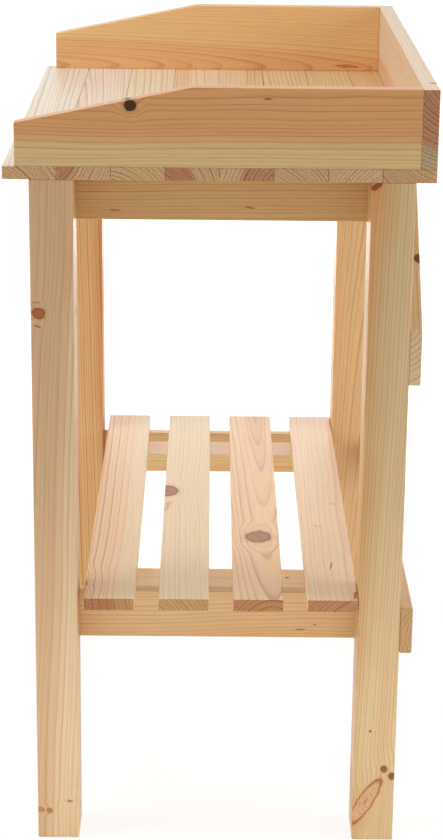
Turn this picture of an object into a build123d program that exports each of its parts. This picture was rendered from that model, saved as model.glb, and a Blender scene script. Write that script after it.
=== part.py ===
from build123d import *
import os

# Pine potting bench in millimetres. +X is its right-hand end, -Y its open front and +Z up.
# The origin is on the floor, under the middle of the worktop.

# Worktop: boards butted side by side, running the length of the bench
bench_length = 668
bench_depth = 450
worktop_height = 771
top_board_count = 8
top_board_thickness = 14
top_board_gap = 0.3

# Gallery round the worktop: a back board and two sides that slope down to a low front
gallery_thickness = 17
gallery_height = 83
gallery_front_height = 45
gallery_slope_run = 183
gallery_setback = 13

# Legs, flush with the ends of the worktop
leg_width = 46
leg_thickness = 58
front_overhang = 27.5
rear_overhang = 21.5

# Rails and aprons that tie the legs together
rail_thickness = 14
apron_height = 54
side_rail_height = 55
back_rail_height = 54
back_rail_bottom = 229.5
joint_clearance = 0.3

# Shelf: slats that rest on the side rails, joined by a flat batten at each end
shelf_height = 292
slat_count = 4
slat_width = 55.5
slat_thickness = 14
slat_front_gap = 7
slat_rear_gap = 0.5
shelf_batten_inset = 5
side_rail_inset = 2

# Battens under the shelf and under the worktop
batten_width = 56
batten_thickness = 14
batten_side_gap = 0.5

# Knee braces on the back of the rear legs, at 45 degrees
brace_width = 43
brace_thickness = 12.5
brace_foot_height = 537

# Eased edges of the sawn and planed boards
edge_ease = 1
leg_ease = 1.5
back_rail_ease = 2.5

# Countersunk wood screws and fluted dowels
screw_diameter = 4
screw_head_diameter = 8
screw_head_depth = 2.6
screw_tip = 5
recess_width = 1
recess_length = 4
recess_depth = 1.4
long_screw = 40
brace_screw = 24
short_screw = 22
screw_edge_distance = 14
brace_screw_spacing = 12
gallery_side_screws = 6
screw_clearance = 0.05
dowel_diameter = 8
rail_dowel_length = 40
leg_dowel_length = 30
leg_dowel_rise = 9
dowel_clearance = 0.05

# Places that several pieces share
end_x = bench_length / 2
front_y = -bench_depth / 2
back_y = bench_depth / 2
worktop_underside = worktop_height - top_board_thickness
gallery_top = worktop_height + gallery_height
leg_inner_x = end_x - leg_thickness
leg_front_y = front_y + front_overhang
leg_back_y = back_y - rear_overhang
front_leg_inner_y = leg_front_y + leg_width
rear_leg_inner_y = leg_back_y - leg_width
rail_inner_x = leg_inner_x - rail_thickness
slat_underside = shelf_height - slat_thickness
side_rail_bottom = slat_underside - side_rail_height
left_rail_outer_x = end_x - leg_thickness / 2 + rail_thickness / 2
gallery_back_y = back_y - gallery_thickness
gallery_screw_x = end_x - gallery_thickness / 2
front_rail_inner_y = leg_front_y + rail_thickness
rear_rail_inner_y = leg_back_y - rail_thickness
apron_bottom = worktop_underside - apron_height
batten_outer_x = rail_inner_x - batten_side_gap - batten_width / 2
worktop_batten_x = {"left": -batten_outer_x, "middle": 0, "right": batten_outer_x}
worktop_batten_y = (front_rail_inner_y + joint_clearance, rear_rail_inner_y - joint_clearance)

SIDES = {"left": -1, "right": 1}


def block(x, y, z, ease=edge_ease):
    """A straight board between the low and high x, y and z, with eased edges."""
    size = [high - low for low, high in (x, y, z)]
    centre = [(high + low) / 2 for low, high in (x, y, z)]
    solid = Pos(*centre) * Box(*size)
    return fillet(solid.edges(), min(ease, min(size) / 4))


def sided(side, near, far):
    """The low and high x of a piece that lies from near to far, on the left or the right."""
    return sorted((side * near, side * far))


def screw(length):
    """A countersunk screw driven along +Z, its head flush with z = 0."""
    shank = screw_diameter / 2
    outline = Polyline(
        (0, 0),
        (screw_head_diameter / 2, 0),
        (shank, screw_head_depth),
        (shank, length - screw_tip),
        (0, length),
        close=True,
    )
    body = revolve(make_face(Plane.XZ * outline), Axis.Z)
    slot = Box(recess_length, recess_width, 2 * recess_depth)
    return body - slot - Rot(0, 0, 90) * slot


def screw_hole(length):
    """The drilled and countersunk hole that a screw of this length goes into."""
    shank = screw_diameter / 2 + screw_clearance
    head = screw_head_diameter / 2 + screw_clearance
    outline = Polyline(
        (0, -screw_clearance),
        (head, -screw_clearance),
        (head, screw_clearance),
        (shank, screw_head_depth + screw_clearance),
        (shank, length - screw_tip),
        (0, length + screw_diameter / 2),
        close=True,
    )
    return revolve(make_face(Plane.XZ * outline), Axis.Z)


def dowel(length):
    """A round dowel with chamfered ends, centred, lying along Z."""
    peg = Cylinder(dowel_diameter / 2, length)
    return chamfer(peg.edges().filter_by(GeomType.CIRCLE), dowel_diameter / 8)


def dowel_hole(length):
    """The hole that a dowel of this length fills, with room for glue at both ends."""
    return Cylinder(dowel_diameter / 2 + dowel_clearance, length + 2 * dowel_clearance)


def bored(solid, places, hole):
    """The solid with the same hole cut at each place."""
    for place in places:
        solid = solid - place * hole
    return solid


def along(direction, points):
    """Planes at the points, each with its normal in the direction a screw or dowel is driven."""
    return [Plane(origin=point, z_dir=direction) for point in points]


def save(name, *solids):
    """Write one node: a single piece, or a group of identical loose pieces."""
    shape = solids[0] if len(solids) == 1 else Compound(children=list(solids))
    shape.label = name
    export_step(shape, f"parts/{name}.step")


# ---- Where the screws and dowels go

def frame_screw_places(side, bottom, height):
    """Two screws into each leg, from the inner face of a board screwed inside the legs."""
    ys = (front_leg_inner_y - leg_width / 3, rear_leg_inner_y + leg_width / 3)
    zs = (bottom + screw_edge_distance, bottom + height - screw_edge_distance)
    return along((side, 0, 0), [(side * rail_inner_x, y, z) for y in ys for z in zs])


def back_rail_screw_places():
    """Two screws into each rear leg, from the back of the lower back rail."""
    xs = (-end_x + leg_thickness / 4, end_x - leg_thickness / 4)
    zs = (back_rail_bottom + screw_edge_distance,
          back_rail_bottom + back_rail_height - screw_edge_distance)
    y = leg_back_y + rail_thickness
    return along((0, -1, 0), [(x, y, z) for x in xs for z in zs])


def brace_screw_places(side):
    """Two screws into the rear leg and two into the rear rail, between the rail's dowels."""
    middle_foot = brace_foot_height + brace_width / 2**0.5
    leg_xs = (end_x - leg_thickness / 4, leg_inner_x + leg_thickness / 4)
    rail_middle = apron_bottom + apron_height / 2
    rail_zs = (rail_middle - brace_screw_spacing / 2, rail_middle + brace_screw_spacing / 2)
    spots = [(x, middle_foot + end_x - x) for x in leg_xs]
    spots += [(end_x - (z - middle_foot), z) for z in rail_zs]
    y = leg_back_y + brace_thickness
    return along((0, -1, 0), [(side * x, y, z) for x, z in spots])


def slat_y(number):
    """The front and back of a shelf slat, counted from the front."""
    opening = rear_leg_inner_y - front_leg_inner_y - slat_front_gap - slat_rear_gap
    pitch = (opening - slat_width) / (slat_count - 1)
    low = front_leg_inner_y + slat_front_gap + pitch * number
    return low, low + slat_width


def top_board_y(number):
    """The front and back of a worktop board, counted from the front."""
    pitch = (bench_depth + top_board_gap) / top_board_count
    low = front_y + pitch * number
    return low, low + pitch - top_board_gap


def quarter_points(span):
    """Two places across a board, a quarter of its width in from each edge."""
    low, high = span
    return low + (high - low) / 4, high - (high - low) / 4


def middle(span):
    """Halfway between the two ends of a span."""
    return sum(span) / 2


def shelf_screw_places(side, number):
    """Two screws up through a shelf batten into one slat."""
    x = side * batten_outer_x
    z = slat_underside - batten_thickness
    return along((0, 0, 1), [(x, y, z) for y in quarter_points(slat_y(number))])


def worktop_screw_places(x, number):
    """One screw up through a worktop batten into the stretch of board above it."""
    low, high = top_board_y(number)
    over_batten = (max(low, worktop_batten_y[0]), min(high, worktop_batten_y[1]))
    z = worktop_underside - batten_thickness
    return along((0, 0, 1), [(x, middle(over_batten), z)])


def gallery_side_screw_places(side):
    """Screws up through the worktop into a gallery side, evenly spaced between the legs."""
    first = front_leg_inner_y + screw_edge_distance
    last = rear_leg_inner_y - screw_edge_distance
    step = (last - first) / (gallery_side_screws - 1)
    ys = [first + step * number for number in range(gallery_side_screws)]
    return along((0, 0, 1), [(side * gallery_screw_x, y, worktop_underside) for y in ys])


def gallery_back_screw_places():
    """Screws up into the gallery back, between the tops of the braces and outside them."""
    brace_top_inner = end_x - (worktop_underside - brace_foot_height)
    brace_top_outer = brace_top_inner + brace_width * 2**0.5
    outside = (brace_top_outer + end_x - gallery_thickness) / 2
    xs = (-outside, -brace_top_inner / 2, brace_top_inner / 2, outside)
    y = back_y - gallery_thickness / 2
    return along((0, 0, 1), [(x, y, worktop_underside) for x in xs])


def gallery_corner_screw_places(side):
    """Two screws from the back, through the gallery back into the end of a side."""
    zs = (worktop_height + screw_edge_distance, gallery_top - screw_edge_distance)
    return along((0, -1, 0), [(side * gallery_screw_x, back_y, z) for z in zs])


def rail_dowel_places(side):
    """Two dowels in the end of the front rail and two in the end of the rear rail."""
    ys = (leg_front_y + rail_thickness / 2, leg_back_y - rail_thickness / 2)
    zs = (apron_bottom + screw_edge_distance, worktop_underside - screw_edge_distance)
    return along((1, 0, 0), [(side * leg_inner_x, y, z) for y in ys for z in zs])


def side_rail_dowel_places():
    """Two dowels in each end of the left side rail."""
    x = -(left_rail_outer_x - rail_thickness / 2)
    zs = (side_rail_bottom + screw_edge_distance, slat_underside - screw_edge_distance)
    return along((0, 1, 0), [(x, y, z) for y in (front_leg_inner_y, rear_leg_inner_y) for z in zs])


def leg_dowel_places(side):
    """One dowel in the top of each leg, where the leg lies under the outermost board."""
    front_over_leg = (leg_front_y, top_board_y(0)[1])
    rear_over_leg = (top_board_y(top_board_count - 1)[0], leg_back_y)
    x = side * (end_x - leg_thickness / 3)
    z = worktop_underside + leg_dowel_rise - leg_dowel_length / 2
    return along((0, 0, 1), [(x, middle(span), z) for span in (front_over_leg, rear_over_leg)])


# ---- The pieces

def leg(side, y):
    """A square post with its joints for the apron, side rail, long rails and brace."""
    post = block(sided(side, leg_inner_x, end_x), y, (0, worktop_underside), leg_ease)
    post = bored(post, frame_screw_places(side, apron_bottom, apron_height), screw_hole(long_screw))
    if side == SIDES["right"]:
        post = bored(post, frame_screw_places(side, side_rail_bottom, side_rail_height), screw_hole(long_screw))
    else:
        post = bored(post, side_rail_dowel_places(), dowel_hole(rail_dowel_length))
    post = bored(post, back_rail_screw_places(), screw_hole(long_screw))
    post = bored(post, brace_screw_places(side), screw_hole(brace_screw))
    post = bored(post, rail_dowel_places(side), dowel_hole(rail_dowel_length))
    return bored(post, leg_dowel_places(side), dowel_hole(leg_dowel_length))


def apron(side):
    """The short rail under an end of the worktop, inside the legs."""
    y = (front_rail_inner_y + joint_clearance, rear_rail_inner_y - joint_clearance)
    board = block(sided(side, rail_inner_x, leg_inner_x), y, (apron_bottom, worktop_underside))
    return bored(board, frame_screw_places(side, apron_bottom, apron_height), screw_hole(long_screw))


def side_rail_right():
    """The rail under the right end of the shelf, screwed to the inside of the legs."""
    y = (leg_front_y + side_rail_inset, leg_back_y - side_rail_inset)
    board = block((rail_inner_x, leg_inner_x), y, (side_rail_bottom, slat_underside))
    places = frame_screw_places(SIDES["right"], side_rail_bottom, side_rail_height)
    return bored(board, places, screw_hole(long_screw))


def side_rail_left():
    """The rail under the left end of the shelf, dowelled between the legs."""
    x = (-left_rail_outer_x, rail_thickness - left_rail_outer_x)
    y = (front_leg_inner_y + joint_clearance, rear_leg_inner_y - joint_clearance)
    board = block(x, y, (side_rail_bottom, slat_underside))
    return bored(board, side_rail_dowel_places(), dowel_hole(rail_dowel_length))


def upper_rail(y):
    """A long rail under the worktop, dowelled between two legs."""
    rail = block((-leg_inner_x, leg_inner_x), y, (apron_bottom, worktop_underside))
    for side in SIDES.values():
        rail = bored(rail, rail_dowel_places(side), dowel_hole(rail_dowel_length))
        rail = bored(rail, brace_screw_places(side), screw_hole(brace_screw))
    return rail


def back_rail():
    """The low rail across the back of the rear legs, with well rounded edges."""
    rail = block(
        (-end_x, end_x),
        (leg_back_y, leg_back_y + rail_thickness),
        (back_rail_bottom, back_rail_bottom + back_rail_height),
        back_rail_ease,
    )
    return bored(rail, back_rail_screw_places(), screw_hole(long_screw))


def brace(side):
    """A knee brace at 45 degrees, cut upright at the leg and level under the worktop."""
    foot = brace_foot_height
    cut = brace_width * 2**0.5
    outline = Polyline(
        (end_x, foot),
        (end_x, foot + cut),
        (end_x - (worktop_underside - foot - cut), worktop_underside),
        (end_x - (worktop_underside - foot), worktop_underside),
        close=True,
    )
    plane = Plane(origin=(0, leg_back_y, 0), x_dir=(side, 0, 0), z_dir=(0, -side, 0))
    board = extrude(make_face(plane * outline), brace_thickness, dir=(0, 1, 0))
    board = fillet(board.edges(), edge_ease)
    return bored(board, brace_screw_places(side), screw_hole(brace_screw))


def slat(number):
    """One board of the shelf, flush with the outer faces of the legs."""
    board = block((-end_x, end_x), slat_y(number), (slat_underside, shelf_height))
    for side in SIDES.values():
        board = bored(board, shelf_screw_places(side, number), screw_hole(short_screw))
    return board


def shelf_batten(side):
    """The flat batten that joins the slats, just inside the legs' rails."""
    outer_x = rail_inner_x - batten_side_gap
    y = (slat_y(0)[0] + shelf_batten_inset, slat_y(slat_count - 1)[1] - shelf_batten_inset)
    z = (slat_underside - batten_thickness, slat_underside)
    board = block(sided(side, outer_x - batten_width, outer_x), y, z)
    for number in range(slat_count):
        board = bored(board, shelf_screw_places(side, number), screw_hole(short_screw))
    return board


def worktop_board(number):
    """One board of the worktop, with the holes that reach it from below."""
    board = block((-end_x, end_x), top_board_y(number), (worktop_underside, worktop_height))
    for x in worktop_batten_x.values():
        board = bored(board, worktop_screw_places(x, number), screw_hole(short_screw))
    for side in SIDES.values():
        board = bored(board, gallery_side_screw_places(side), screw_hole(long_screw))
        board = bored(board, leg_dowel_places(side), dowel_hole(leg_dowel_length))
    return bored(board, gallery_back_screw_places(), screw_hole(long_screw))


def worktop_batten(x):
    """A flat batten across the underside of the worktop, between the long rails."""
    z = (worktop_underside - batten_thickness, worktop_underside)
    board = block((x - batten_width / 2, x + batten_width / 2), worktop_batten_y, z)
    for number in range(top_board_count):
        board = bored(board, worktop_screw_places(x, number), screw_hole(short_screw))
    return board


def gallery_back():
    """The full-length board that stands along the back of the worktop."""
    board = block((-end_x, end_x), (gallery_back_y, back_y), (worktop_height, gallery_top))
    board = bored(board, gallery_back_screw_places(), screw_hole(long_screw))
    for side in SIDES.values():
        board = bored(board, gallery_corner_screw_places(side), screw_hole(long_screw))
    return board


def gallery_side(side):
    """An end board that slopes from a low front up to the height of the back."""
    front = front_y + gallery_setback
    outline = Polyline(
        (front, worktop_height),
        (front, worktop_height + gallery_front_height),
        (front + gallery_slope_run, gallery_top),
        (gallery_back_y, gallery_top),
        (gallery_back_y, worktop_height),
        close=True,
    )
    plane = Plane(origin=(side * end_x, 0, 0), x_dir=(0, 1, 0), z_dir=(1, 0, 0))
    board = extrude(make_face(plane * outline), gallery_thickness, dir=(-side, 0, 0))
    board = fillet(board.edges(), edge_ease)
    board = bored(board, gallery_side_screw_places(side), screw_hole(long_screw))
    return bored(board, gallery_corner_screw_places(side), screw_hole(long_screw))


# ---- Writing every node

os.makedirs("parts", exist_ok=True)

for name, side in SIDES.items():
    save(f"leg_front_{name}", leg(side, (leg_front_y, front_leg_inner_y)))
    save(f"leg_rear_{name}", leg(side, (rear_leg_inner_y, leg_back_y)))
    save(f"apron_{name}", apron(side))
    save(f"shelf_batten_{name}", shelf_batten(side))
    save(f"brace_{name}", brace(side))
    save(f"gallery_side_{name}", gallery_side(side))

save("side_rail_left", side_rail_left())
save("side_rail_right", side_rail_right())
save("upper_rail_front", upper_rail((leg_front_y, front_rail_inner_y)))
save("upper_rail_rear", upper_rail((rear_rail_inner_y, leg_back_y)))
save("back_rail", back_rail())
save("gallery_back", gallery_back())

for number in range(slat_count):
    save(f"shelf_slat_{number + 1}", slat(number))

for number in range(top_board_count):
    save(f"worktop_board_{number + 1}", worktop_board(number))

for name, x in worktop_batten_x.items():
    save(f"worktop_batten_{name}", worktop_batten(x))

frame_places = frame_screw_places(SIDES["right"], side_rail_bottom, side_rail_height)
brace_places = []
shelf_places = []
gallery_places = gallery_back_screw_places()
rail_dowels = side_rail_dowel_places()
leg_dowels = []
for side in SIDES.values():
    frame_places += frame_screw_places(side, apron_bottom, apron_height)
    brace_places += brace_screw_places(side)
    gallery_places += gallery_side_screw_places(side) + gallery_corner_screw_places(side)
    rail_dowels += rail_dowel_places(side)
    leg_dowels += leg_dowel_places(side)
    for number in range(slat_count):
        shelf_places += shelf_screw_places(side, number)

worktop_places = []
for x in worktop_batten_x.values():
    for number in range(top_board_count):
        worktop_places += worktop_screw_places(x, number)

save("frame_screws", *[place * screw(long_screw) for place in frame_places])
save("back_rail_screws", *[place * screw(long_screw) for place in back_rail_screw_places()])
save("brace_screws", *[place * screw(brace_screw) for place in brace_places])
save("shelf_screws", *[place * screw(short_screw) for place in shelf_places])
save("worktop_screws", *[place * screw(short_screw) for place in worktop_places])
save("gallery_screws", *[place * screw(long_screw) for place in gallery_places])
save("rail_dowels", *[place * dowel(rail_dowel_length) for place in rail_dowels])
save("leg_dowels", *[place * dowel(leg_dowel_length) for place in leg_dowels])
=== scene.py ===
from math import radians

import bmesh
import bpy
from mathutils import Matrix, Vector


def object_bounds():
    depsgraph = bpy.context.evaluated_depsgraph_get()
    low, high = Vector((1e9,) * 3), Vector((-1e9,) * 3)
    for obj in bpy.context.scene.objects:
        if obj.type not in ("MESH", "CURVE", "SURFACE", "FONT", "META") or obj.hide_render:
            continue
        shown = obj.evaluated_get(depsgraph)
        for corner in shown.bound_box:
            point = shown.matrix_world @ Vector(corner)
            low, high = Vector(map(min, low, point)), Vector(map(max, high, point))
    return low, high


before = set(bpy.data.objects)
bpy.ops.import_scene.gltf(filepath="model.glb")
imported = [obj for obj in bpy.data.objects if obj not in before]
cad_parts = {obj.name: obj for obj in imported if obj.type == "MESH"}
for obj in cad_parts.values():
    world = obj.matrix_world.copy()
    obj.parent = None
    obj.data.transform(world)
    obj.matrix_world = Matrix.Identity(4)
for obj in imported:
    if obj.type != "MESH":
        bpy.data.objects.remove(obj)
cad_low, cad_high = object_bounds()


# Legs. Four squared lengths of planed, unfinished pine that carry the whole bench, 58 by 46 mm,
# cut square at the floor and joined to the rails with screws and dowels. The wood stays bare:
# a matt, slightly silky surface, cream sapwood, and reddish lines where each year's growth ends.
def linear(hex_colour):
    channels = [int(hex_colour[i:i + 2], 16) / 255 for i in (1, 3, 5)]
    return tuple(c / 12.92 if c <= 0.04045 else ((c + 0.055) / 1.055) ** 2.4 for c in channels) + (1.0,)


def add_node(tree, kind, inputs=None, **settings):
    node = tree.nodes.new(kind)
    for name, value in settings.items():
        setattr(node, name, value)
    for socket, value in (inputs or {}).items():
        if isinstance(value, bpy.types.NodeSocket):
            tree.links.new(value, node.inputs[socket])
        else:
            node.inputs[socket].default_value = value
    return node


def set_stops(ramp_node, stops):
    ramp = ramp_node.color_ramp
    while len(ramp.elements) < len(stops):
        ramp.elements.new(1.0)
    for element, (position, colour) in zip(ramp.elements, stops):
        element.position = position
        element.color = colour


def plane_pine(name, stem, heart, ring, pale, warm, line, heartwood=0.05, heartwood_blend=0.03,
               line_strength=0.6, sap_lines=1.0, wander=0.004, streaks=0.5, flecks=0.12, seed=0.0,
               end_tint="#CC9F66", end_heart=None, end_contrast=0.5, roughness=0.52, knots=()):
    """Planed pine from a tree whose pith runs through heart along stem, all in metres.

    ring is a year's growth, heartwood the radius of the warm core, and wander how far the pith
    strays. line_strength, streaks and flecks say how strongly the year lines, the tinted streaks
    and the resin canals show, sap_lines how much of the lines is left in the sapwood, and seed
    gives each board its own figure. A knot is its centre, the way its branch points, its radius,
    its length over its width, the colours of its wood and its rim and, where it leans, the angle
    in radians."""
    material = bpy.data.materials.new(name)
    material.use_nodes = True
    tree = material.node_tree
    tree.nodes.clear()
    stem = Vector(stem).normalized()
    place = add_node(tree, "ShaderNodeTexCoord")
    point = place.outputs["Object"]

    # A knot is a branch cut across, with an outline uneven by a millimetre or two. The fibres part
    # and pass round it, pushed aside by most of its radius and less with the square of the
    # distance, and the wood swells out to more than three radii.
    lumps_per_metre, lump_depth = 90.0, 0.004
    fibre_push, push_power = 0.9, -2.0
    swell_height, swell_start, swell_end = 0.8, 0.6, 3.6
    jitter = add_node(tree, "ShaderNodeTexNoise",
                      {"Vector": point, "Scale": lumps_per_metre, "Detail": 2.0})
    jitter = add_node(tree, "ShaderNodeVectorMath", {0: jitter.outputs["Color"], 1: (0.5, 0.5, 0.5)},
                      operation="SUBTRACT")
    jitter = add_node(tree, "ShaderNodeVectorMath", {0: jitter.outputs[0], "Scale": lump_depth},
                      operation="SCALE")
    rough_point = add_node(tree, "ShaderNodeVectorMath", {0: point, 1: jitter.outputs[0]},
                           operation="ADD")
    grain_point = point
    swelling = None
    knot_distances = []
    for centre, branch, size, stretch, body, rim, *lean in knots:
        branch = Vector(branch).normalized()
        across = stem.cross(branch).normalized()
        along = branch.cross(across).normalized()
        if lean:
            along.rotate(Matrix.Rotation(lean[0], 3, branch))
            across.rotate(Matrix.Rotation(lean[0], 3, branch))
        turn = Matrix((along, across, branch)).transposed().to_euler()
        local = add_node(tree, "ShaderNodeMapping",
                         {"Vector": rough_point.outputs[0], "Location": centre, "Rotation": turn,
                          "Scale": (size * stretch, size, 1.0)}, vector_type="TEXTURE")
        flat = add_node(tree, "ShaderNodeVectorMath", {0: local.outputs[0], 1: (1.0, 1.0, 0.0)},
                        operation="MULTIPLY")
        away = add_node(tree, "ShaderNodeVectorMath", {0: flat.outputs[0]}, operation="LENGTH")
        outside = add_node(tree, "ShaderNodeMath", {0: away.outputs["Value"], 1: 1.0},
                           operation="MAXIMUM")
        fade = add_node(tree, "ShaderNodeMath", {0: outside.outputs[0], 1: push_power},
                        operation="POWER")
        sides = add_node(tree, "ShaderNodeSeparateXYZ", {0: flat.outputs[0]})
        part = add_node(tree, "ShaderNodeMath", {0: sides.outputs["Y"], 1: fade.outputs[0]},
                        operation="MULTIPLY")
        push = add_node(tree, "ShaderNodeVectorMath",
                        {0: tuple(across * size * fibre_push), "Scale": part.outputs[0]},
                        operation="SCALE")
        grain_point = add_node(tree, "ShaderNodeVectorMath", {0: grain_point, 1: push.outputs[0]},
                               operation="SUBTRACT").outputs[0]
        bulge = add_node(tree, "ShaderNodeMapRange",
                         {"Value": away.outputs["Value"], "From Min": swell_start,
                          "From Max": swell_end, "To Min": size * swell_height, "To Max": 0.0},
                         interpolation_type="SMOOTHERSTEP")
        if swelling is None:
            swelling = bulge.outputs[0]
        else:
            swelling = add_node(tree, "ShaderNodeMath", {0: swelling, 1: bulge.outputs[0]},
                                operation="MAXIMUM").outputs[0]
        knot_distances.append((away.outputs["Value"], body, rim))

    # Rings: distance from the wandering pith line, counted in years of unequal width. The pith
    # bends over about 110 mm across the trunk and 300 mm along it.
    bends_across, bends_along = 9.0, 3.2
    turn = stem.to_track_quat("Z", "Y").to_euler()
    trunk = add_node(tree, "ShaderNodeMapping",
                     {"Vector": grain_point, "Location": heart, "Rotation": turn},
                     vector_type="TEXTURE")
    slow = add_node(tree, "ShaderNodeMapping",
                    {"Vector": trunk.outputs[0], "Location": (seed, seed * 0.7, seed * 1.3),
                     "Scale": (bends_across, bends_across, bends_along)})
    sway = add_node(tree, "ShaderNodeTexNoise",
                    {"Vector": slow.outputs[0], "Scale": 1.0, "Detail": 2.5})
    sway = add_node(tree, "ShaderNodeVectorMath", {0: sway.outputs["Color"], 1: (0.5, 0.5, 0.5)},
                    operation="SUBTRACT")
    sway = add_node(tree, "ShaderNodeVectorMath", {0: sway.outputs[0], "Scale": wander * 2.0},
                    operation="SCALE")
    swayed = add_node(tree, "ShaderNodeVectorMath", {0: trunk.outputs[0], 1: sway.outputs[0]},
                      operation="ADD")
    radial = add_node(tree, "ShaderNodeVectorMath", {0: swayed.outputs[0], 1: (1.0, 1.0, 0.0)},
                      operation="MULTIPLY")
    radius = add_node(tree, "ShaderNodeVectorMath", {0: radial.outputs[0]},
                      operation="LENGTH").outputs["Value"]
    if swelling is not None:
        radius = add_node(tree, "ShaderNodeMath", {0: radius, 1: swelling},
                          operation="SUBTRACT").outputs[0]
    count = add_node(tree, "ShaderNodeMath", {0: radius, 1: 1.0 / ring}, operation="MULTIPLY")

    # Wet and dry spells last about six years, and put the count up to some years ahead or behind.
    spells_per_year, years_gained = 0.17, 2.75
    drift = add_node(tree, "ShaderNodeMath", {0: count.outputs[0], 1: spells_per_year, 2: seed * 3.1},
                     operation="MULTIPLY_ADD")
    drift = add_node(tree, "ShaderNodeTexNoise", {"W": drift.outputs[0], "Scale": 1.0, "Detail": 2.0},
                     noise_dimensions="1D")
    years = add_node(tree, "ShaderNodeMath",
                     {0: drift.outputs["Fac"], 1: years_gained, 2: count.outputs[0]},
                     operation="MULTIPLY_ADD")
    season = add_node(tree, "ShaderNodeMath", {0: years.outputs[0]}, operation="FRACT")
    year = add_node(tree, "ShaderNodeMath", {0: years.outputs[0]}, operation="FLOOR")

    # Each year starts pale, darkens slowly and ends in a dark line, stronger in some years.
    darkening = [(0.0, 0.0), (0.45, 0.06), (0.74, 0.3), (0.88, 1.0), (0.95, 0.85), (1.0, 0.0)]
    weakest_line = 0.4
    late = add_node(tree, "ShaderNodeValToRGB", {"Fac": season.outputs[0]})
    set_stops(late, [(time, (dark, dark, dark, 1.0)) for time, dark in darkening])
    vigour = add_node(tree, "ShaderNodeTexWhiteNoise", {"W": year.outputs[0]}, noise_dimensions="1D")
    vigour = add_node(tree, "ShaderNodeMapRange",
                      {"Value": vigour.outputs["Value"], "To Min": weakest_line, "To Max": 1.0})
    latewood = add_node(tree, "ShaderNodeMath", {0: late.outputs["Color"], 1: vigour.outputs[0]},
                        operation="MULTIPLY")

    # Colour: pale sapwood outside and warmer heartwood inside. The border between them is uneven,
    # with more than two waves to each bend of the pith.
    border_waves = 2.3
    border = add_node(tree, "ShaderNodeTexNoise",
                      {"Vector": slow.outputs[0], "Scale": border_waves, "Detail": 1.0})
    depth = add_node(tree, "ShaderNodeMath",
                     {0: border.outputs["Fac"], 1: heartwood_blend, 2: radius},
                     operation="MULTIPLY_ADD")
    sap = add_node(tree, "ShaderNodeMapRange",
                   {"Value": depth.outputs[0], "From Min": heartwood - heartwood_blend * 0.5,
                    "From Max": heartwood + heartwood_blend}, interpolation_type="SMOOTHSTEP")
    wood = add_node(tree, "ShaderNodeMix", {0: sap.outputs[0], 6: linear(warm), 7: linear(pale)},
                    data_type="RGBA")

    # Faint greenish and rosy streaks about 13 mm wide follow the grain, and over all of them
    # comes the reddish line that ends each year.
    streaks_across, streaks_along = 75.0, 1.6
    streak_place = add_node(tree, "ShaderNodeMapping",
                            {"Vector": swayed.outputs[0], "Location": (seed * 2, seed, seed),
                             "Scale": (streaks_across, streaks_across, streaks_along)})
    streak = add_node(tree, "ShaderNodeTexNoise",
                      {"Vector": streak_place.outputs[0], "Scale": 1.0, "Detail": 2.0,
                       "Roughness": 0.6})
    streak_tint = add_node(tree, "ShaderNodeValToRGB", {"Fac": streak.outputs["Fac"]})
    set_stops(streak_tint, [(0.28, linear("#F7F9EF")), (0.5, linear("#FFFFFF")),
                            (0.72, linear("#FFF1E5"))])
    wood = add_node(tree, "ShaderNodeMix",
                    {0: streaks, 6: wood.outputs[2], 7: streak_tint.outputs[0]},
                    data_type="RGBA", blend_type="MULTIPLY")
    contrast = add_node(tree, "ShaderNodeMapRange",
                        {"Value": sap.outputs[0], "To Min": line_strength,
                         "To Max": line_strength * sap_lines})
    line_amount = add_node(tree, "ShaderNodeMath",
                           {0: latewood.outputs[0], 1: contrast.outputs[0]}, operation="MULTIPLY")
    wood = add_node(tree, "ShaderNodeMix",
                    {0: line_amount.outputs[0], 6: wood.outputs[2], 7: linear(line)},
                    data_type="RGBA")

    # Fibres run the length of the board. They are drawn about 1.5 mm wide, coarser than the real
    # 0.05 mm, so that they show. The resin canals are short darker dashes about 12 mm long. The
    # tones follow noise that seldom leaves the range from noise_low to noise_high.
    noise_low, noise_high = 0.3, 0.7
    fibres_across, fibres_along = 650.0, 11.0
    dark_fibre, pale_fibre = 0.93, 1.04
    canals_across, canals_along = 800.0, 85.0
    canal_edge, canal_middle = 0.66, 0.78
    fibre_place = add_node(tree, "ShaderNodeMapping",
                           {"Vector": swayed.outputs[0],
                            "Scale": (fibres_across, fibres_across, fibres_along)})
    fibre = add_node(tree, "ShaderNodeTexNoise",
                     {"Vector": fibre_place.outputs[0], "Scale": 1.0, "Detail": 3.0,
                      "Roughness": 0.65})
    fibre_tone = add_node(tree, "ShaderNodeMapRange",
                          {"Value": fibre.outputs["Fac"], "From Min": noise_low,
                           "From Max": noise_high, "To Min": dark_fibre, "To Max": pale_fibre})
    canal_place = add_node(tree, "ShaderNodeMapping",
                           {"Vector": swayed.outputs[0], "Location": (seed, 0.0, seed),
                            "Scale": (canals_across, canals_across, canals_along)})
    canal = add_node(tree, "ShaderNodeTexNoise",
                     {"Vector": canal_place.outputs[0], "Scale": 1.0, "Detail": 1.0})
    canal = add_node(tree, "ShaderNodeMapRange",
                     {"Value": canal.outputs["Fac"], "From Min": canal_edge,
                      "From Max": canal_middle, "To Min": 0.0, "To Max": flecks})
    canal_tone = add_node(tree, "ShaderNodeMath", {0: 1.0, 1: canal.outputs[0]}, operation="SUBTRACT")
    tone = add_node(tree, "ShaderNodeMath", {0: fibre_tone.outputs[0], 1: canal_tone.outputs[0]},
                    operation="MULTIPLY")
    wood = add_node(tree, "ShaderNodeVectorMath", {0: wood.outputs[2], "Scale": tone.outputs[0]},
                    operation="SCALE").outputs[0]

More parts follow.
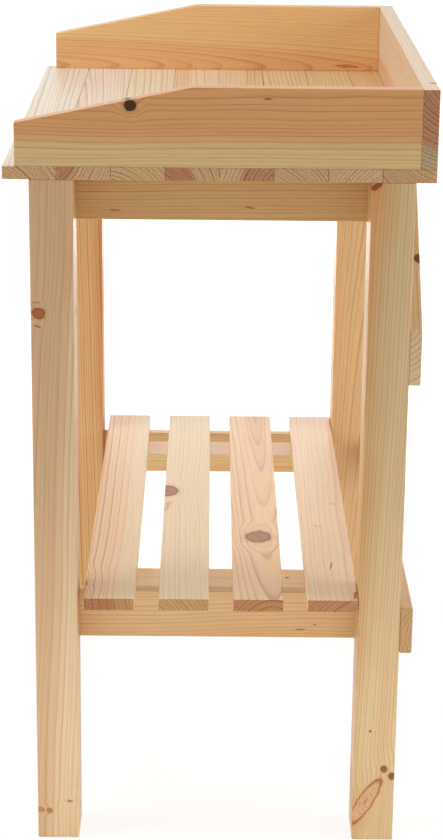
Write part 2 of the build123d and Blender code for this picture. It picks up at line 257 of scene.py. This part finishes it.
    # Knots: a dark pith, brown wood mottled every 2 mm or so, a darker rim at one radius, and a
    # narrow stained halo that ends at 1.6 radii. The ramp is 2.5 radii long.
    mottles_per_metre, dark_mottle, pale_mottle = 420.0, 0.8, 1.15
    ramp_radii = 2.5
    solid, rim_edge, stain, clear = 0.95, 0.7, 0.22, 0.0
    mottle = add_node(tree, "ShaderNodeTexNoise",
                      {"Vector": point, "Scale": mottles_per_metre, "Detail": 2.0})
    mottle = add_node(tree, "ShaderNodeMapRange",
                      {"Value": mottle.outputs["Fac"], "From Min": noise_low,
                       "From Max": noise_high, "To Min": dark_mottle, "To Max": pale_mottle})
    knot_cover = None
    for away, body, rim in knot_distances:
        reach = add_node(tree, "ShaderNodeMath", {0: away, 1: 1.0 / ramp_radii}, operation="MULTIPLY")
        shade = add_node(tree, "ShaderNodeValToRGB", {"Fac": reach.outputs[0]})
        body, rim = linear(body)[:3], linear(rim)[:3]
        set_stops(shade, [(0.0, rim + (solid,)), (0.07, body + (solid,)), (0.31, body + (solid,)),
                          (0.375, rim + (solid,)), (0.405, rim + (rim_edge,)),
                          (0.45, body + (stain,)), (0.65, body + (clear,))])
        knot_wood = add_node(tree, "ShaderNodeVectorMath",
                             {0: shade.outputs["Color"], "Scale": mottle.outputs[0]},
                             operation="SCALE")
        wood = add_node(tree, "ShaderNodeMix",
                        {0: shade.outputs["Alpha"], 6: wood, 7: knot_wood.outputs[0]},
                        data_type="RGBA").outputs[2]
        if knot_cover is None:
            knot_cover = shade.outputs["Alpha"]
        else:
            knot_cover = add_node(tree, "ShaderNodeMath", {0: shade.outputs["Alpha"], 1: knot_cover},
                                  operation="MAXIMUM").outputs[0]

    # End grain drinks in dirt and shadow, so it is darker, shows its rings more strongly, and is
    # speckled by pores drawn 1.6 mm across. A face is sawn end where it looks along the stem:
    # the cosine of its angle to the stem is past end_from, and fully so past end_full.
    pores_per_metre, dark_pore, pale_pore = 620.0, 0.76, 1.18
    early_end_tone = 1.12
    end_from, end_full = 0.62, 0.8
    facing = add_node(tree, "ShaderNodeVectorMath", {0: place.outputs["Normal"], 1: tuple(stem)},
                      operation="DOT_PRODUCT")
    facing = add_node(tree, "ShaderNodeMath", {0: facing.outputs["Value"]}, operation="ABSOLUTE")
    sawn_end = add_node(tree, "ShaderNodeMapRange",
                        {"Value": facing.outputs[0], "From Min": end_from, "From Max": end_full})
    pores = add_node(tree, "ShaderNodeTexNoise",
                     {"Vector": point, "Scale": pores_per_metre, "Detail": 2.0})
    pore_tone = add_node(tree, "ShaderNodeMapRange",
                         {"Value": pores.outputs["Fac"], "From Min": noise_low,
                          "From Max": noise_high, "To Min": dark_pore, "To Max": pale_pore})
    end_line = add_node(tree, "ShaderNodeMapRange",
                        {"Value": latewood.outputs[0], "To Min": early_end_tone,
                         "To Max": early_end_tone - end_contrast})
    end_tone = add_node(tree, "ShaderNodeMath", {0: pore_tone.outputs[0], 1: end_line.outputs[0]},
                        operation="MULTIPLY")
    end_wood = add_node(tree, "ShaderNodeMix",
                        {0: sap.outputs[0], 6: linear(end_heart or end_tint), 7: linear(end_tint)},
                        data_type="RGBA")
    end_wood = add_node(tree, "ShaderNodeVectorMath",
                        {0: end_wood.outputs[2], "Scale": end_tone.outputs[0]}, operation="SCALE")
    wood = add_node(tree, "ShaderNodeMix", {0: sawn_end.outputs[0], 6: wood, 7: end_wood.outputs[0]},
                    data_type="RGBA").outputs[2]

    # Planing leaves the hard late growth about 0.05 mm proud of the rest and raises the fibres a
    # little, and sawn ends stay rough. The heights are in millimetres.
    line_height, fibre_height, sawn_height, millimetre = 0.05, 0.10, 0.35, 0.001
    rise = add_node(tree, "ShaderNodeMath", {0: latewood.outputs[0], 1: line_height},
                    operation="MULTIPLY")
    rise = add_node(tree, "ShaderNodeMath",
                    {0: fibre.outputs["Fac"], 1: fibre_height, 2: rise.outputs[0]},
                    operation="MULTIPLY_ADD")
    sawn_rise = add_node(tree, "ShaderNodeMath", {0: pores.outputs["Fac"], 1: sawn_end.outputs[0]},
                         operation="MULTIPLY")
    rise = add_node(tree, "ShaderNodeMath",
                    {0: sawn_rise.outputs[0], 1: sawn_height, 2: rise.outputs[0]},
                    operation="MULTIPLY_ADD")
    relief = add_node(tree, "ShaderNodeBump",
                      {"Height": rise.outputs[0], "Strength": 1.0, "Distance": millimetre})

    # The hard late growth takes a smoother face from the plane, and a sawn end is the roughest.
    line_polish, sawn_dullness = 0.1, 0.3
    gloss = add_node(tree, "ShaderNodeMapRange",
                     {"Value": latewood.outputs[0], "To Min": roughness,
                      "To Max": roughness - line_polish})
    gloss = add_node(tree, "ShaderNodeMath",
                     {0: sawn_end.outputs[0], 1: sawn_dullness, 2: gloss.outputs[0]},
                     operation="MULTIPLY_ADD")

    # A knot shows its end grain, which scatters light and mirrors far less of it than the board.
    shine, knot_shine = 0.5, 0.1
    if knot_cover is not None:
        shine = add_node(tree, "ShaderNodeMapRange",
                         {"Value": knot_cover, "To Min": shine, "To Max": knot_shine}).outputs[0]
    shader = add_node(tree, "ShaderNodeBsdfPrincipled",
                      {"Base Color": wood, "Roughness": gloss.outputs[0], "Normal": relief.outputs[0],
                       "Specular IOR Level": shine, "IOR": 1.5})
    add_node(tree, "ShaderNodeOutputMaterial", {"Surface": shader.outputs[0]})
    return material


def dress(node, material):
    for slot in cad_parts[node].material_slots:
        slot.material = material


dress("leg_front_right", plane_pine(
    "planed_pine_front_right_leg", stem=(0.014, 0.026, 1.0), heart=(0.270, -0.235, 0.4), ring=0.0040,
    pale="#E5C69B", warm="#D8B085", line="#B17F51", heartwood=0.095, heartwood_blend=0.008,
    line_strength=0.64, streaks=0.9, seed=1.3, roughness=0.47,
    knots=[((0.334, -0.1890, 0.614), (1, -0.25, 0.1), 0.0048, 1.2, "#AE6A32", "#8C5426"),
           ((0.334, -0.1915, 0.6262), (1, -0.1, 0.1), 0.0040, 0.22, "#C08A56", "#B67E4A"),
           ((0.334, -0.1905, 0.6000), (1, -0.1, 0.1), 0.0034, 0.28, "#AC7844", "#9A683A", -0.3),
           ((0.334, -0.184, 0.0345), (1, 0.1, 0.1), 0.0034, 0.9, "#BE8550", "#9A6232"),
           ((0.334, -0.161, 0.046), (1, 0.7, 0.1), 0.0026, 0.6, "#B8804C", "#9A6232"),
           ((0.334, -0.197, 0.0355), (1, -0.4, 0.1), 0.0032, 0.9, "#BE8550", "#9A6232")]))
dress("leg_rear_right", plane_pine(
    "planed_pine_rear_right_leg", stem=(0.004, 0.030, 1.0), heart=(0.345, 0.112, 0.4), ring=0.0036,
    pale="#E1C191", warm="#DA9553", line="#A98550", heartwood=0.060, line_strength=0.8, streaks=1.0,
    seed=2.1, roughness=0.47,
    knots=[((0.334, 0.1915, 0.089), (1, 0.1, 0.2), 0.0036, 1.1, "#8A5230", "#5F3319"),
           ((0.334, 0.2008, 0.080), (1, 0.4, 0.0), 0.0040, 1.1, "#93592F", "#653619"),
           ((0.334, 0.175, 0.136), (1, 0.1, 0.2), 0.0014, 1.0, "#8A5230", "#5F3319"),
           ((0.334, 0.1715, 0.048), (1, 0.05, 0.1), 0.0078, 4.2, "#D9AA80", "#A8683A", -0.42),
           ((0.334, 0.163, 0.753), (1, 0.2, 0.1), 0.0026, 2.2, "#984E2A", "#7C3C20", -0.9)]))
dress("leg_front_left", plane_pine(
    "planed_pine_front_left_leg", stem=(0.006, -0.018, 1.0), heart=(-0.290, -0.134, 0.5), ring=0.0040,
    pale="#E5B87D", warm="#D78C52", line="#B4682E", heartwood=0.030, heartwood_blend=0.015,
    line_strength=0.95, streaks=0.8, seed=3.7, roughness=0.47))
dress("leg_rear_left", plane_pine(
    "planed_pine_rear_left_leg", stem=(-0.050, 0.010, 1.0), heart=(-0.315, 0.214, 0.45), ring=0.0036,
    pale="#EDC58F", warm="#E4B178", line="#C99158", heartwood=0.03, line_strength=0.8, streaks=0.6,
    seed=5.2, roughness=0.47,
    knots=[((-0.276, 0.168, 0.215), (1, 0.2, 0.2), 0.0018, 2.5, "#A3602E", "#7F4522")]))


# Aprons and rails. Planed pine boards on edge that tie the legs together. The aprons under the
# worktop and the right rail under the shelf are screwed to the inside of the legs. The left rail
# under the shelf and the two long rails under the worktop lie between their legs on dowels.
# On the right apron the pith lies just above its top edge, so a band of warm heartwood runs along the
# top. That band is painted shade under the worktop, darker and more orange than the wood below.
dress("apron_right", plane_pine(
    "planed_pine_right_apron", stem=(0.0, 1.0, 0.006), heart=(0.256, 0.0, 0.800), ring=0.0042,
    pale="#DFB375", warm="#CE874C", line="#B2763D", heartwood=0.056, heartwood_blend=0.016,
    line_strength=0.85, streaks=0.6, seed=1.9, wander=0.007,
    knots=[((0.276, -0.110, 0.713), (1, 0.6, 0.1), 0.0009, 5.0, "#B8803F", "#A86C34", 0.12),
           ((0.276, 0.033, 0.7175), (1, 0.6, 0.1), 0.0009, 5.0, "#B07438", "#9A5E2C")]))
dress("apron_left", plane_pine(
    "planed_pine_left_apron", stem=(0.0, 1.0, -0.012), heart=(-0.25, 0.0, 0.69), ring=0.0044,
    pale="#E2B880", warm="#DCA468", line="#BE8850", heartwood=0.045, seed=4.4))
dress("side_rail_right", plane_pine(
    "planed_pine_right_side_rail", stem=(0.012, 1.0, 0.010), heart=(0.288, 0.05, 0.188), ring=0.0046,
    pale="#E4BE8A", warm="#E0B176", line="#BD894E", heartwood=0.06, line_strength=0.85, streaks=0.7,
    wander=0.011, seed=6.3,
    knots=[((0.276, 0.096, 0.2325), (1, 0.8, 0.1), 0.0010, 3.6, "#B07C44", "#966030"),
           ((0.276, 0.112, 0.2395), (1, 0.6, 0.1), 0.0008, 2.4, "#B07C44", "#966030")]))
dress("side_rail_left", plane_pine(
    "planed_pine_left_side_rail", stem=(0.0, 1.0, -0.03), heart=(-0.295, 0.05, 0.235), ring=0.0056,
    pale="#F8DEAC", warm="#F4CF98", line="#D6A862", heartwood=0.05, line_strength=0.7, streaks=0.6,
    seed=7.9))
dress("upper_rail_front", plane_pine(
    "planed_pine_front_upper_rail", stem=(1.0, 0.0, 0.008), heart=(0.0, -0.21, 0.68), ring=0.0046,
    pale="#E3BC88", warm="#DCA76E", line="#BF8A52", heartwood=0.05, seed=8.8,
    knots=[((0.11, -0.1975, 0.735), (0.3, -1, 0.1), 0.0075, 1.3, "#B07540", "#7E4A26")]))
dress("upper_rail_rear", plane_pine(
    "planed_pine_rear_upper_rail", stem=(1.0, 0.0, -0.015), heart=(0.0, 0.19, 0.72), ring=0.0044,
    pale="#E2B982", warm="#DCA569", line="#BE864D", heartwood=0.04, seed=9.4,
    knots=[((-0.16, 0.2035, 0.738), (0.2, 1, 0.1), 0.0065, 1.4, "#B07540", "#7E4A26")]))


# Shelf. Four planed pine slats laid along the bench with gaps between them. They rest on the side
# rails, and two pine battens just inside those are screwed to them from below. Each slat comes
# from a different tree, so each has its own tint and rings.
dress("shelf_slat_1", plane_pine(
    "planed_pine_first_slat", stem=(1.0, 0.001, 0.004), heart=(0.0, -0.215, 0.262), ring=0.0051,
    pale="#EBD2AA", warm="#F0CDA2", line="#B0653C", heartwood=0.1115, heartwood_blend=0.006,
    line_strength=0.95, streaks=0.4, seed=1.1, wander=0.003, sap_lines=0.2,
    end_tint="#B88A58", end_heart="#AC7248", end_contrast=0.7,
    knots=[((0.290, -0.1605, 0.292), (0.02, -0.1, 1), 0.0175, 1.2, "#B87C58", "#94583A")]))
dress("shelf_slat_2", plane_pine(
    "planed_pine_second_slat", stem=(1.0, 0.002, 0.004), heart=(0.0, -0.105, 0.232), ring=0.0036,
    pale="#EDD6AF", warm="#EACDA2", line="#C49A66", heartwood=0.03, line_strength=0.65, streaks=0.4,
    seed=2.6, end_tint="#C0965F", end_contrast=0.75,
    knots=[((-0.022, -0.0600, 0.292), (-0.25, -0.1, 1), 0.0135, 1.35, "#AC6E48", "#7A4426"),
           ((0.034, -0.0585, 0.292), (-0.9, -0.1, 1), 0.0032, 4.0, "#DDB890", "#D8AC80")]))
dress("shelf_slat_3", plane_pine(
    "planed_pine_third_slat", stem=(1.0, 0.012, -0.048), heart=(-0.334, 0.054, 0.290), ring=0.0058,
    pale="#F3CD9E", warm="#E1B486", line="#B4704A", heartwood=0.014, heartwood_blend=0.014,
    line_strength=0.85, streaks=0.5, seed=3.3, end_tint="#B88050", end_contrast=0.7, wander=0.005,
    knots=[((0.138, 0.0505, 0.292), (-0.15, -0.35, 1), 0.0145, 1.2, "#B07652", "#7A4A30", 0.2)]))
dress("shelf_slat_4", plane_pine(
    "planed_pine_fourth_slat", stem=(1.0, 0.004, 0.004), heart=(0.0, 0.185, 0.222), ring=0.0042,
    pale="#F1D5B2", warm="#EEC9A6", line="#C58E67", heartwood=0.075, line_strength=0.55, streaks=0.7,
    seed=4.9, end_tint="#BC8254", end_contrast=0.9,
    knots=[((0.10, 0.122, 0.292), (0.2, 0.3, 1), 0.0010, 7.0, "#D2A07C", "#C8906A", 0.9),
           ((0.02, 0.143, 0.292), (0.2, 0.3, 1), 0.0008, 6.0, "#D2A07C", "#C8906A", 0.7),
           ((0.2295, 0.1319, 0.292), (0.2, 0.3, 1), 0.0008, 14.0, "#A8714C", "#8A5233"),
           ((0.318, 0.154, 0.292), (0.2, 0.3, 1), 0.0016, 6.0, "#B57A50", "#8A5233")]))
# The right batten's sapwood and heartwood colours are pushed almost to white, paler than any other pine
# here. That is pale wood with painted light on it where it shows between the slats.
dress("shelf_batten_right", plane_pine(
    "planed_pine_right_shelf_batten", stem=(0.0, 1.0, 0.01), heart=(0.25, 0.0, 0.235), ring=0.0044,
    pale="#FFE6B0", warm="#FFDB9E", line="#DFA25C", heartwood=0.04, line_strength=0.45, seed=5.5,
    knots=[((0.2325, 0.082, 0.278), (0.1, 0.2, 1), 0.0018, 1.2, "#6E4630", "#4E2F20")]))
dress("shelf_batten_left", plane_pine(
    "planed_pine_left_shelf_batten", stem=(0.0, 1.0, 0.004), heart=(-0.200, 0.0, 0.2635), ring=0.0056,
    pale="#F6DCB1", warm="#F8D993", line="#D69A58", heartwood=0.011, heartwood_blend=0.004,
    line_strength=0.5, seed=6.7, wander=0.001))


# Worktop. Eight boards of planed pine edge to edge, running the length of the bench, screwed from
# below to three cross battens. Thin dark seams part them, and their sawn ends show at each side.
# Each board, from the front: the lean and climb of its pith line, that line's place across the
# bench and its height at the right end, the width of a year's growth, the radius of the warm
# core, and the colours of sapwood, heartwood, ring lines, sawn end and the end's warm core.
# The tops and their ring lines grow darker and more orange from the front board to the back one. That is
# partly each board's own tone and partly painted shade, which deepens towards the gallery back.
boards = [
    (0.010, 0.003, -0.262, 0.700, 0.0036, 0.030, "#EFE0CB", "#E8CFB2", "#B8936C", "#D3A674", None),
    (0.004, -0.045, -0.193, 0.794, 0.0037, 0.052, "#EFDECB", "#EDD4BE", "#C2906C", "#D3A676", "#C0845A"),
    (0.012, 0.004, -0.119, 0.709, 0.0035, 0.030, "#EDDABC", "#E5C6A0", "#B5875C", "#D3A876", None),
    (0.020, -0.012, -0.066, 0.738, 0.0034, 0.047, "#ECD4B4", "#E8C8A4", "#BA8458", "#D0A272", "#BC7E56"),
    (-0.012, -0.006, 0.076, 0.742, 0.0036, 0.058, "#E8CEA8", "#E4C096", "#B58252", "#D3AA7A", "#C0845C"),
    (0.006, 0.005, 0.030, 0.700, 0.0034, 0.030, "#E5C69C", "#DFB482", "#AC7846", "#CFA272", None),
    (-0.006, -0.004, 0.202, 0.706, 0.0036, 0.030, "#E3C294", "#DCAF7A", "#A87242", "#D3AC7C", None),
    (0.004, -0.010, 0.250, 0.832, 0.0034, 0.030, "#E0BC8C", "#DAA972", "#AC7648", "#CDA070", None),
]
right_end = cad_high[0]
for number, board in enumerate(boards, start=1):
    lean, climb, across, height, ring, core, pale, warm, line, end_tint, end_heart = board
    dress("worktop_board_%d" % number, plane_pine(
        "planed_pine_worktop_board_%d" % number, stem=(1.0, lean, climb),
        heart=(right_end, across, height), ring=ring, pale=pale, warm=warm, line=line,
        heartwood=core, heartwood_blend=0.003, line_strength=0.9, streaks=0.6, end_tint=end_tint,
        end_heart=end_heart, end_contrast=0.95, seed=0.9 * number, wander=0.003, roughness=0.40))

# The battens under the worktop differ only in their pith line's place and climb, and in figure.
for node, pith_x, climb, seed in [("worktop_batten_left", -0.27, 0.012, 2.2),
                                  ("worktop_batten_middle", 0.0, 0.002, 3.2),
                                  ("worktop_batten_right", 0.27, -0.008, 4.2)]:
    dress(node, plane_pine(
        "planed_pine_" + node, stem=(0.0, 1.0, climb), heart=(pith_x, 0.0, 0.71), ring=0.0044,
        pale="#E2BC8A", warm="#DDAA72", line="#C08B54", heartwood=0.04, seed=seed))


# Gallery. A low fence of planed pine boards round three sides of the worktop that keeps soil and
# pots on it, screwed up through the worktop. The sides slope down to the front, and the back board
# closes their rear ends and shows its own end grain there.
dress("gallery_side_right", plane_pine(
    "planed_pine_right_gallery_side", stem=(0.0, 1.0, 0.004), heart=(0.306, 0.0, 0.862), ring=0.0046,
    pale="#E2C087", warm="#DFA266", line="#B46F38", heartwood=0.0735, heartwood_blend=0.012,
    line_strength=0.7, streaks=0.5, seed=1.7, wander=0.007, roughness=0.38,
    knots=[((0.334, -0.0925, 0.8345), (1, 0.15, 0.05), 0.0058, 1.05, "#44241A", "#26140E"),
           ((0.334, 0.0487, 0.843), (1, 0.3, 0.05), 0.0009, 3.0, "#A96A3A", "#8C5630")]))
dress("gallery_side_left", plane_pine(
    "planed_pine_left_gallery_side", stem=(-0.048, 1.0, -0.002), heart=(-0.336, -0.21, 0.776),
    ring=0.0026, pale="#EBC387", warm="#E8B37C", line="#C77D42", heartwood=0.0415,
    heartwood_blend=0.006, line_strength=0.7, streaks=0.4, seed=3.1, wander=0.0022, roughness=0.38,
    knots=[((-0.317, 0.168, 0.777), (1, 0.4, 0.1), 0.0020, 6.5, "#CC7E44", "#C0703A")]))
dress("gallery_back", plane_pine(
    "planed_pine_gallery_back", stem=(1.0, 0.002, 0.006), heart=(0.334, 0.251, 0.873), ring=0.0038,
    pale="#DBB38D", warm="#E1C9AC", line="#B9855B", heartwood=0.087, heartwood_blend=0.006,
    streaks=0.5, end_tint="#BFA07C", end_heart="#BA8058", end_contrast=1.05, seed=6.1,
    roughness=0.40,
    knots=[((0.292, 0.2215, 0.854), (0.25, -1.0, 0.9), 0.0026, 1.6, "#B5764F", "#8A5233")]))


# Back rail and braces. A planed rail across the rear legs below the shelf, and two pine braces at
# 45 degrees from the rear legs up to the upper rail, all laid on the back and screwed.
dress("back_rail", plane_pine(
    "planed_pine_back_rail", stem=(1.0, 0.0, 0.012), heart=(0.1, 0.24, 0.245), ring=0.0042,
    pale="#D2AE7F", warm="#CD9D6A", line="#B07E4A", heartwood=0.05, line_strength=0.6, seed=7.1,
    end_tint="#C59A6A",
    knots=[((-0.12, 0.2175, 0.262), (0.2, 1, 0.1), 0.008, 1.3, "#B07540", "#7E4A26"),
           ((0.205, 0.2175, 0.246), (0.1, 1, 0.1), 0.0055, 1.2, "#B07540", "#7E4A26")]))
dress("brace_right", plane_pine(
    "planed_pine_right_brace", stem=(-1.0, 0.0, 1.02), heart=(0.26, 0.19, 0.70), ring=0.0052,
    pale="#E0C092", warm="#DCAA6C", line="#A07C50", heartwood=0.03, line_strength=0.6, seed=8.3,
    end_tint="#D6BE94", end_contrast=0.7,
    knots=[((0.272, 0.215, 0.664), (1, 0.5, 1), 0.0052, 1.1, "#7E4026", "#4A2314")]))
dress("brace_left", plane_pine(
    "planed_pine_left_brace", stem=(1.0, 0.0, 1.02), heart=(-0.26, 0.235, 0.66), ring=0.0048,
    pale="#E0C092", warm="#DCAA6C", line="#B08050", heartwood=0.04, line_strength=0.6, seed=9.7,
    end_tint="#D8BE98"))


# Screws and dowels. Zinc-plated steel countersunk screws hold the boards, and fluted beech dowels
# line up the leg joints. Plating gives a bright, faintly blue metal, beech a close pale pink grain.
zinc = bpy.data.materials.new("zinc_plated_screw_steel")
zinc.use_nodes = True
tree = zinc.node_tree
tree.nodes.clear()

# The plating's crystals are drawn about a millimetre across, coarser than they are, so that the
# metal doesn't look like one flat grey. Their relief is a fifth of 0.2 mm.
crystals_per_metre, smooth_plate, rough_plate = 900.0, 0.28, 0.5
relief_depth, relief_share = 0.0002, 0.2
place = add_node(tree, "ShaderNodeTexCoord")
plating = add_node(tree, "ShaderNodeTexNoise",
                   {"Vector": place.outputs["Object"], "Scale": crystals_per_metre, "Detail": 3.0})
plate_colour = add_node(tree, "ShaderNodeValToRGB", {"Fac": plating.outputs["Fac"]})
set_stops(plate_colour, [(0.3, linear("#A9ABAD")), (0.7, linear("#C9CBCC"))])
plate_gloss = add_node(tree, "ShaderNodeMapRange",
                       {"Value": plating.outputs["Fac"], "To Min": smooth_plate,
                        "To Max": rough_plate})
plate_relief = add_node(tree, "ShaderNodeBump",
                        {"Height": plating.outputs["Fac"], "Strength": relief_share,
                         "Distance": relief_depth})
shader = add_node(tree, "ShaderNodeBsdfPrincipled",
                  {"Base Color": plate_colour.outputs[0], "Metallic": 1.0,
                   "Roughness": plate_gloss.outputs[0], "Normal": plate_relief.outputs[0]})
add_node(tree, "ShaderNodeOutputMaterial", {"Surface": shader.outputs[0]})
for joint in ["frame", "worktop", "gallery", "shelf", "back_rail", "brace"]:
    dress(joint + "_screws", zinc)
beech = plane_pine("turned_beech_dowel", stem=(1.0, 0.0, 0.0), heart=(0.0, 0.3, 0.5), ring=0.0024,
                   pale="#DDB893", warm="#D6A880", line="#C09068", line_strength=0.35, flecks=0.6)
for joint in ["leg", "rail"]:
    dress(joint + "_dowels", beech)


# Floor. A sheet of white studio paper under the bench. It looks white to the eye and keeps the
# soft shadows where the legs stand, and it throws its light back up at the wood like real paper.
def looked_at(tree):
    """Whether a ray comes from the eye, straight or by way of a shiny or a clear surface."""
    rays = add_node(tree, "ShaderNodeLightPath").outputs
    seen = add_node(tree, "ShaderNodeMath", {0: rays["Is Camera Ray"], 1: rays["Is Glossy Ray"]},
                    operation="MAXIMUM")
    seen = add_node(tree, "ShaderNodeMath", {0: seen.outputs[0], 1: rays["Is Transmission Ray"]},
                    operation="MAXIMUM")
    return seen.outputs[0]


sheet_radius = 9.0
sheet = bmesh.new()
bmesh.ops.create_circle(sheet, cap_ends=True, radius=sheet_radius, segments=96)
floor_mesh = bpy.data.meshes.new("paper_floor")
sheet.to_mesh(floor_mesh)
sheet.free()
floor = bpy.data.objects.new("paper_floor", floor_mesh)
bpy.context.collection.objects.link(floor)
paper = bpy.data.materials.new("white_studio_paper")
paper.use_nodes = True
tree = paper.node_tree
tree.nodes.clear()

# Under the bench nearly a quarter of the paper's white comes from the light that falls on it, so
# that shadows show. From 0.6 m out that share fades, and past 1.6 m the paper is plain white.
shadow_zone, plain_zone, white_in_shadow = 0.6, 1.6, 0.775
lit_paper = add_node(tree, "ShaderNodeBsdfDiffuse", {"Color": linear("#F4F4F3")})
faint_paper = add_node(tree, "ShaderNodeBsdfDiffuse", {"Color": linear("#959595")})
place = add_node(tree, "ShaderNodeTexCoord")
from_bench = add_node(tree, "ShaderNodeVectorMath", {0: place.outputs["Object"]}, operation="LENGTH")
whiteness = add_node(tree, "ShaderNodeMapRange",
                     {"Value": from_bench.outputs["Value"], "From Min": shadow_zone,
                      "From Max": plain_zone, "To Min": white_in_shadow, "To Max": 1.0},
                     interpolation_type="SMOOTHSTEP")
white = add_node(tree, "ShaderNodeEmission",
                 {"Color": linear("#FFFFFF"), "Strength": whiteness.outputs[0]})
white_paper = add_node(tree, "ShaderNodeAddShader", {0: faint_paper.outputs[0], 1: white.outputs[0]})
surface = add_node(tree, "ShaderNodeMixShader",
                   {0: looked_at(tree), 1: lit_paper.outputs[0], 2: white_paper.outputs[0]})
add_node(tree, "ShaderNodeOutputMaterial", {"Surface": surface.outputs[0]})
floor_mesh.materials.append(paper)


# Light. A pale room and one softbox above the bench. Two more stand at the long sides, just high
# enough to shine in under the worktop onto the shelf. One stands past the left end, and a weak
# strip lies on the floor past the right end.
room_light, backdrop_white = 0.38, 1.0
world = bpy.data.worlds.new("pale_room")
bpy.context.scene.world = world
world.use_nodes = True
tree = world.node_tree
tree.nodes.clear()
room = add_node(tree, "ShaderNodeBackground", {"Color": linear("#FFFFFF"), "Strength": room_light})
backdrop = add_node(tree, "ShaderNodeBackground",
                    {"Color": linear("#FFFFFF"), "Strength": backdrop_white})
surface = add_node(tree, "ShaderNodeMixShader",
                   {0: looked_at(tree), 1: room.outputs[0], 2: backdrop.outputs[0]})
add_node(tree, "ShaderNodeOutputWorld", {"Surface": surface.outputs[0]})

# Each softbox: where it stands, where it aims, its width and height in metres, and its watts.
softboxes = [
    ("overhead_softbox", (0.0, 0.0, 2.3), (0.0, 0.0, 0.4), 1.4, 1.4, 10.0),
    ("front_softbox", (0.45, -2.0, 1.35), (0.0, 0.0, 0.4), 1.5, 1.2, 25.0),
    ("rear_softbox", (0.45, 2.0, 1.35), (0.0, 0.0, 0.4), 1.5, 1.2, 21.0),
    ("left_end_softbox", (-2.0, 0.0, 0.48), (-0.3, 0.0, 0.4), 1.2, 0.75, 14.5),
    ("right_end_floor_strip", (0.74, 0.0, 0.04), (0.334, 0.0, 0.08), 0.9, 0.08, 0.8),
]
for name, position, target, width, height, watts in softboxes:
    lamp = bpy.data.lights.new(name, "AREA")
    lamp.shape = "RECTANGLE"
    lamp.size = width
    lamp.size_y = height
    lamp.energy = watts
    lamp_object = bpy.data.objects.new(name, lamp)
    lamp_object.visible_camera = False
    aim = (Vector(target) - Vector(position)).to_track_quat("-Z", "Y")
    lamp_object.matrix_world = Matrix.Translation(position) @ aim.to_matrix().to_4x4()
    bpy.context.collection.objects.link(lamp_object)


# Camera. It stands off the right-hand end of the bench, a little above the worktop, and looks
# down the bench with a long lens. Its turn, tilt and roll are in degrees.
eye = (2.638, -0.0088, 1.2316)
turn, tilt, roll = 0.337, 17.652, 0.627
lens = bpy.data.cameras.new("end_view")
lens.lens = 97.06
lens.sensor_width = 36.0
lens.clip_end = 60.0
camera = bpy.data.objects.new("end_view", lens)
camera.matrix_world = (Matrix.Translation(eye)
                       @ Matrix.Rotation(radians(90.0 - turn), 4, "Z")
                       @ Matrix.Rotation(radians(90.0 - tilt), 4, "X")
                       @ Matrix.Rotation(radians(roll), 4, "Z"))
bpy.context.collection.objects.link(camera)
bpy.context.scene.camera = camera
bpy.context.scene.view_settings.view_transform = "Standard"
